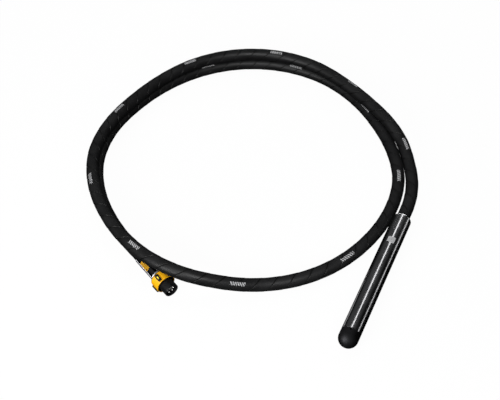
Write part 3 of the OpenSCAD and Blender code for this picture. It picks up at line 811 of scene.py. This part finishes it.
def pads(name, axle, items, body, slot, steps=6, material=None):
    """Raised pads laid on a round surface, all in one piece. Each item is (z, angle, length, width,
    bottom radius, top radius, corner radius, edge radius), with its middle at z and angle."""
    verts, faces, straight = [], [], []
    for z, angle, length, width, low, high, corner, edge in items:
        half = np.array([length, width]) / 2
        levels = [(low, 0.0)]
        for k in range(steps + 1):
            a = math.pi / 2 * k / steps
            levels.append((high - edge * (1 - math.sin(a)), edge * (1 - math.cos(a))))
        deep = min(half) * 0.98
        levels += [(high, edge + (deep - edge) * (t + 1) / INWARD_STEPS) for t in range(INWARD_STEPS)]
        base = len(verts)
        for r, inset in levels:
            for x, y in rounded_rectangle(half - inset, corner - inset, steps):
                verts.append(axle.at(z + x, r, angle + y / high))
                straight.append((z + x, y, r))
        columns = 4 * (steps + SIDE_STEPS)
        faces += [[base + v for v in face] for face in closed_grid(len(levels), columns)]
        faces.append([base + k for k in range(columns)])
        faces.append([base + (len(levels) - 1) * columns + k for k in range(columns)])
    return make_piece(name, verts, faces, body, slot, straight, crease=40, material=material)


def build_head():
    """Head tube, rear cap, and the etched patch on the tube."""
    tube_from, tube_to, bore, out = HEAD.span("head_tube")
    _, rear_to, inlet, _ = HEAD.span("rear_cap")
    seal_from, _, _, seal_out = HEAD.span("head_cable_seal")
    _, hose_in, _, hose_out = HEAD.span("hose_head_end")
    tube = lathe("head_tube_turned", HEAD, rounded([
        (tube_from, bore, 0.2 * MM), (tube_from, out, 0.3 * MM), (tube_to, out, 0.3 * MM),
        (tube_to, bore, 0.2 * MM)]), "head", "head_steel", 128)
    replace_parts(tube, "head_tube")
    spigot = bore - 0.05 * MM
    shoulder = 8 * MM
    floor = hose_in + 4.2 * MM
    cap = lathe("rear_cap_turned", HEAD, rounded([
        (0, hose_out + GAP, 0.4 * MM), (0, out, shoulder), (tube_from - 0.1 * MM, out, 0.3 * MM),
        (tube_from - 0.1 * MM, spigot, 0)] + grooved("rear_o_ring", HEAD, spigot) + [
        (rear_to, spigot, 0.6 * MM), (rear_to, seal_out + GAP, 0.3 * MM),
        (seal_from - 1.2 * MM, seal_out + GAP, 0), (seal_from - 1.2 * MM, inlet, 0),
        (floor, inlet, 0), (floor, hose_out + GAP, 0)], 10), "head", "head_steel", 128)
    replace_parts(cap, "rear_cap")
    build_patch(tube_from + 42 * MM, out)


def build_patch(patch_z, out):
    """The etched patch near the top of the tube: a notched square with short bars in it."""
    middle = HEAD.angle_to(TO_CAMERA - Vector((0.34, 0, 0)))
    top = out + 0.06 * MM

    def laid(items, low, high, corner, edge):
        """Pads of (z, across, length, width) in mm from the middle of the patch."""
        return [(patch_z + z * MM, middle + y * MM / out, long * MM, wide * MM,
                 low, high, corner, edge) for z, y, long, wide in items]

    plates = [(-1, 0, 19, 22), (10, -2.5, 3, 15)]
    pads("etched_patch", HEAD, laid(plates, out - 0.2 * MM, top, 0.4 * MM, 0.04 * MM),
         "head", "head_steel", 3, ETCHED)
    bars = [(-4, -6, 8, 0.7), (5, -6, 5, 0.7), (-2, -1, 12, 0.6), (-4, 3, 7, 0.6)]
    pads("etched_bars", HEAD, laid(bars, out - 0.1 * MM, top + 0.04 * MM, 0.3 * MM, 0.02 * MM),
         "head", "head_steel", 3, ETCHED_DARK)


# ---- Plug ----

def build_steel_end():
    """The end tube, its label, and the polished collar."""
    tube_from, tube_to, inlet, out = PLUG.span("hose_end_tube")
    _, hose_in, _, hose_out = PLUG.span("hose_plug_end")
    floor = hose_in + 6.2 * MM
    tube = lathe("end_tube_turned", PLUG, rounded([
        (tube_from, hose_out + GAP, 0.3 * MM), (tube_from, out, 0.8 * MM), (tube_to, out, 1.0 * MM),
        (tube_to, inlet, 0.3 * MM), (floor, inlet, 0), (floor, hose_out + GAP, 0)], 6),
        "plug", "tube_steel", 112)
    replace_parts(tube, "hose_end_tube")
    low, high, _, top = PLUG.span("collar_nut")
    collar = lathe("collar_turned", PLUG, rounded([
        (low, inlet, 0.2 * MM), (low, top - 1.0 * MM, 0.3 * MM), (low + 1.0 * MM, top, 0.6 * MM),
        (high - 1.0 * MM, top, 0.6 * MM), (high, top - 1.0 * MM, 0.3 * MM), (high, inlet, 0.2 * MM)]),
        "plug", "collar_chrome", 112)
    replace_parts(collar, "collar_nut")
    low, high, _, top = PLUG.span("rating_label")
    sides = [PLUG.angle_to(Vector(p) - PLUG.origin) % TURN for p in points_of("rating_label")]
    middle, width = (min(sides) + max(sides)) / 2, (max(sides) - min(sides)) * out
    long = high - low
    label = pads("label_film", PLUG, [((low + high) / 2, middle, long, width, out + 0.01 * MM,
                                       out + 0.22 * MM, 1.2 * MM, 0.06 * MM)],
                 "plug", "label_yellow")
    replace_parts(label, "rating_label")
    bars = []
    for place, start, end, thick in ((-0.24, 0.12, 0.74, 0.09), (0.04, 0.12, 0.5, 0.035),
                                     (0.15, 0.12, 0.66, 0.035), (0.26, 0.12, 0.58, 0.035),
                                     (0.37, 0.12, 0.7, 0.035), (0.16, 0.8, 0.92, 0.25)):
        bars.append((low + long * (start + end) / 2, middle + place * width / out,
                     long * (end - start), width * thick, out + 0.1 * MM, out + 0.26 * MM,
                     0.25 * MM, 0.02 * MM))
    pads("label_bars", PLUG, bars, "plug", "label_yellow", 3, PRINT_INK)


def build_plug_body():
    """The black body of the plug with its nose, and the four pins."""
    low, high, inlet, seat = PLUG.span("plug_body")
    _, _, _, chamber = PLUG.span("contact_insert")
    mount = next(m for m in frame["record"]["mounts"] if m["name"] == "plug_nose")
    nose = mount["dims"]["r_mm"] * MM
    place = (Vector(mount["pos_m"]) - PLUG.origin).dot(PLUG.z)
    seat_to = place - mount["dims"]["length_mm"] * MM / 2
    clip_from, clip_to, clip_in, _ = PLUG.span("ring_retainer")
    chamber_from = low + 10 * MM
    clear = 0.1 * MM           # round the spring clip
    body = lathe("plug_body_turned", PLUG, rounded([
        (low, inlet, 0.2 * MM), (low, seat, 0.6 * MM),
        (clip_from - clear, seat, 0), (clip_from - clear, clip_in - clear, 0),
        (clip_to + clear, clip_in - clear, 0), (clip_to + clear, seat, 0),
        (seat_to, seat, 0.5 * MM), (seat_to, nose, 0.6 * MM), (high, nose, 1.6 * MM),
        (high, chamber, 0.7 * MM), (chamber_from, chamber, 0), (chamber_from, inlet, 0)], 6),
        "plug", "plug_plastic", 112)
    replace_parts(body, "plug_body")
    for node in ("phase_pins", "earth_pin"):
        start, end, _, _ = PLUG.span(node)
        for number, centre in enumerate(islands(node)):
            name = f"{node}_{number + 1}" if node == "phase_pins" else "earth_contact"
            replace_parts(contact(name, centre, start, end), node)


def contact(name, centre, start, end):
    """One plated pin with a domed tip and a shallow ring turned behind it."""
    radius = 2 * MM
    neck = end - 6 * MM
    neck_radius = radius - 0.15 * MM
    return lathe(name, PLUG.beside(centre), rounded([
        (start, 0, 0), (start, radius, 0.2 * MM), (neck, radius, 0.1 * MM),
        (neck + 0.25 * MM, neck_radius, 0), (neck + 0.7 * MM, neck_radius, 0),
        (neck + 0.95 * MM, radius, 0.1 * MM), (end, radius, 1.5 * MM), (end, 0, 0)], 6),
        "plug", "contact_metal", 40)


def build_ring():
    """The locking ring: yellow shell; a black sleeve in its mouth and a black band behind it are painted shade."""
    low, high, seat, out = PLUG.span("locking_ring")
    _, _, _, clip_out = PLUG.span("ring_retainer")
    cavity = clip_out + 0.4 * MM
    lip = low + 10 * MM
    rim = out - 2.0 * MM
    rear = low + 2.2 * MM
    step = high - 0.5 * MM
    ring = lathe("locking_ring_moulded", PLUG, rounded([
        (rear, seat, 0.3 * MM), (rear, out, 1.2 * MM), (high, out, 1.0 * MM), (high, rim, 0.2 * MM),
        (step, rim, 0), (step, cavity, 0), (lip, cavity, 0.5 * MM), (lip, seat, 0.3 * MM)], 6),
        "ring", "ring_yellow", 144)
    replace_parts(ring, "locking_ring")
    # painted shade: a black sleeve inside the ring's mouth stands in for the shade of the recess
    back, front, inside = lip + 0.6 * MM, high - 0.1 * MM, cavity - 0.3 * MM
    lathe("ring_mouth_painted_shade", PLUG, rounded([
        (step, rim - 0.05 * MM, 0), (step, cavity - 0.02 * MM, 0), (back, cavity - 0.02 * MM, 0),
        (back, inside, 0.1 * MM), (front, inside, 0.3 * MM), (front, rim - 0.05 * MM, 0.1 * MM)], 4),
        "ring", "grip_black", 144)
    # painted shade: a black band at the rear of the ring stands in for the shaded gap to the collar
    band, band_to = out - 0.6 * MM, rear - 0.05 * MM
    lathe("ring_rear_painted_shade", PLUG, rounded([
        (low, seat, 0.3 * MM), (low, band, 1.0 * MM), (band_to, band, 0.1 * MM),
        (band_to, seat, 0.1 * MM)], 4), "ring", "grip_black", 144)
    build_ring_pads(high, cavity)


def build_ring_pads(high, cavity):
    """The four grip bars, the mark in one of them, and the three lugs inside the ring."""
    angles = sorted(PLUG.angle_to(c - PLUG.origin) for c in islands("grip_bars"))
    bar_from, bar_to, bar_in, bar_out = PLUG.span("grip_bars")
    bar_width = 11.5 * MM
    grip = pads("grip_bar_set", PLUG, [((bar_from + bar_to) / 2, a, bar_to - bar_from, bar_width,
                                        bar_in, bar_out, 3.2 * MM, 1.5 * MM) for a in angles],
                "ring", "grip_black", 8)
    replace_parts(grip, "grip_bars")
    mark_from, mark_to, _, mark_out = PLUG.span("index_mark")
    mark_at = PLUG.angle_to(islands("index_mark")[0] - PLUG.origin)
    mark_width = 3.4 * MM
    mark = pads("index_mark_inlay", PLUG, [((mark_from + mark_to) / 2, mark_at, mark_to - mark_from,
                                            mark_width, bar_out - 0.1 * MM, mark_out,
                                            0.6 * MM, 0.15 * MM)],
                "ring", "mark_yellow", 4)
    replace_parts(mark, "index_mark")
    lug_from, lug_length = high - 11 * MM, 4.5 * MM
    lug_start, lug_reach = 30, 38      # degrees
    lugs = [(lug_from + lug_length / 2, mark_at + math.radians(lug_start + lug_reach / 2 + 120 * k),
             lug_length, math.radians(lug_reach) * cavity, cavity + 0.3 * MM, cavity - 1.8 * MM,
             0.5 * MM, -0.4 * MM) for k in range(3)]
    pads("ring_lugs", PLUG, lugs, "ring", "grip_black", 4)


dress_cad_nodes()
build_hose()
build_cable()
build_head()
build_steel_end()
build_plug_body()
build_ring()


# ---- Studio ----

def new_light(name, size, power):
    """A rectangular soft light with its two sides given."""
    light = bpy.data.lights.new(name, "AREA")
    light.shape = "RECTANGLE"
    light.size, light.size_y = size
    light.energy = power
    obj = bpy.data.objects.new(name, light)
    bpy.context.scene.collection.objects.link(obj)
    return obj


def area_light(name, place, aim, size, power, glossy=True):
    """A soft light at a place, turned to its aim."""
    obj = new_light(name, size, power)
    obj.location = place
    obj.rotation_euler = (Vector(aim) - Vector(place)).to_track_quat("-Z", "Y").to_euler()
    obj.visible_glossy = glossy
    return obj


def pieces_of(name, piece_names):
    """A collection of pieces that a light is meant for."""
    group = bpy.data.collections.new(name)
    for piece in piece_names:
        group.objects.link(bpy.data.objects[piece])
    return group


def streak_light(name, axle, middle, across, size, power, distance=2.2):
    """A strip light parallel to an axle, placed where the surface at across (-1 to 1 of the width
    that the camera sees) mirrors it to the camera."""
    along = axle.z
    face = (TO_CAMERA - along * TO_CAMERA.dot(along)).normalized()
    right = along.cross(face)
    if right.x < 0:
        right = -right
    normal = face * math.sqrt(1 - across ** 2) + right * across
    mirrored = 2 * normal.dot(TO_CAMERA) * normal - TO_CAMERA
    centre = axle.at(middle)
    obj = new_light(name, size, power)
    back = mirrored.normalized()
    side = back.cross(along).normalized()
    turned = Matrix((along - back * along.dot(back), side, back)).transposed()
    turned.col[0].normalize()
    obj.matrix_world = Matrix.Translation(centre + back * distance) @ turned.to_4x4()
    return obj


def build_floor():
    """A plain pale floor."""
    half_side = 40.0
    bm = bmesh.new()
    bmesh.ops.create_grid(bm, x_segments=2, y_segments=2, size=half_side)
    mesh = bpy.data.meshes.new("floor")
    bm.to_mesh(mesh)
    bm.free()
    floor = bpy.data.objects.new("floor", mesh)
    bpy.context.scene.collection.objects.link(floor)
    material, tree = new_material("floor", (0.9, 0.9, 0.9))
    lit = wire(tree, "BsdfDiffuse", {"Color": (0.05, 0.05, 0.05, 1)})
    glow = wire(tree, "Emission", {"Color": (1, 1, 1, 1), "Strength": 0.965})
    both = wire(tree, "AddShader", {0: lit.outputs[0], 1: glow.outputs[0]})
    wire(tree, "OutputMaterial", {0: both.outputs[0]})
    mesh.materials.append(material)
    floor.visible_glossy = False
    floor.visible_diffuse = False


def build_world():
    """White behind the scene; in reflections a soft grey that is darker low down and to the right."""
    world = bpy.data.worlds.new("studio")
    bpy.context.scene.world = world
    world.use_nodes = True
    tree = world.node_tree
    tree.nodes.clear()
    path = wire(tree, "LightPath")
    white = wire(tree, "Background", {"Color": (1, 1, 1, 1), "Strength": 1.0})
    direction = wire(tree, "SeparateXYZ", {0: wire(tree, "NewGeometry").outputs["Incoming"]})
    rise = times(tree, direction.outputs["Z"], -1.0)
    rightward = times(tree, direction.outputs["X"], -1.0)
    strength = times(tree, between(tree, rise, 0.015, 0.15, -0.1, 0.35),
                         between(tree, rightward, 1.0, 0.05, 0.45, 0.8))
    grey = wire(tree, "Background", {"Color": (0.97, 0.985, 1, 1), "Strength": strength})
    mixed = wire(tree, "MixShader", {0: path.outputs["Is Camera Ray"], 1: grey.outputs[0],
                                     2: white.outputs[0]})
    wire(tree, "OutputWorld", {0: mixed.outputs[0]})


def build_lights():
    """Lights that only the named pieces see, then soft lights for everything."""
    head = ("head_tube_turned", "rear_cap_turned")
    ring = ("locking_ring_moulded", "index_mark_inlay")
    hose = ("hose_head_run", "hose_main_run", "hose_plug_run")
    pins = ("phase_pins_1", "phase_pins_2", "phase_pins_3", "earth_contact")
    at_cap, at_ring, at_pins = (0.43, -0.15, 0.05), (-0.27, -0.36, 0.03), (-0.22, -0.4, 0.03)
    for light, pieces in (
            (streak_light("head_streak", HEAD, 0.2, -0.25, (2.4, 0.30), 13), head),
            (streak_light("head_right", HEAD, 0.2, 0.50, (2.4, 0.26), 6.5), head),
            (streak_light("head_left", HEAD, 0.2, -0.93, (2.4, 0.6), 4), head),
            (streak_light("tube_streak", PLUG, 0.04, -0.8, (1.0, 0.3), 8),
             ("end_tube_turned", "label_film")),
            (streak_light("collar_glow", PLUG, 0.08, -0.45, (1.2, 2.0), 24), ("collar_turned",)),
            (area_light("shoulder", (1.5, 2.0, 0.62), at_cap, (0.7, 0.7), 18), head[1:]),
            (area_light("shoulder_arc", (0.85, 1.8, 0.3), at_cap, (1.6, 0.5), 40), head[1:]),
            (area_light("ring_top", (-0.4, -0.6, 2.4), at_ring, (0.8, 0.8), 7), ring),
            (area_light("ring_left", (-1.9, -1.2, 1.2), at_ring, (0.8, 0.8), 24), ring),
            (area_light("hose_sheen", (0.0, -1.9, 2.7), (0, 0, 0), (0.8, 0.8), 45), hose),
            (area_light("pins", (1.03, -1.96, 0.25), at_pins, (0.4, 0.4), 60), pins)):
        light.light_linking.receiver_collection = pieces_of(light.name, pieces)
    area_light("overhead", (-0.4, 0.9, 2.6), (0, 0, 0), (1.6, 1.6), 14, glossy=False)
    area_light("front", (0.4, -2.8, 1.5), (-0.1, -0.4, 0), (1.2, 1.2), 26, glossy=False)
    area_light("back", (0.6, 2.8, 1.4), (0, 0.2, 0), (1.6, 1.6), 16, glossy=False)
    area_light("left_front", (-2.0, -2.2, 1.3), (-0.3, -0.3, 0), (1.4, 1.4), 48)


def build_camera():
    camera = bpy.data.cameras.new("camera")
    camera.lens = CAMERA_LENS
    camera.sensor_width = 36
    camera.clip_end = 100
    obj = bpy.data.objects.new("camera", camera)
    obj.location = CAMERA_AIM + TO_CAMERA * CAMERA_DISTANCE
    obj.rotation_euler = (math.pi / 2 - CAMERA_DROP, 0, 0)
    bpy.context.scene.collection.objects.link(obj)
    bpy.context.scene.camera = obj


build_floor()
build_world()
build_lights()
build_camera()
bpy.context.scene.view_settings.view_transform = "Standard"
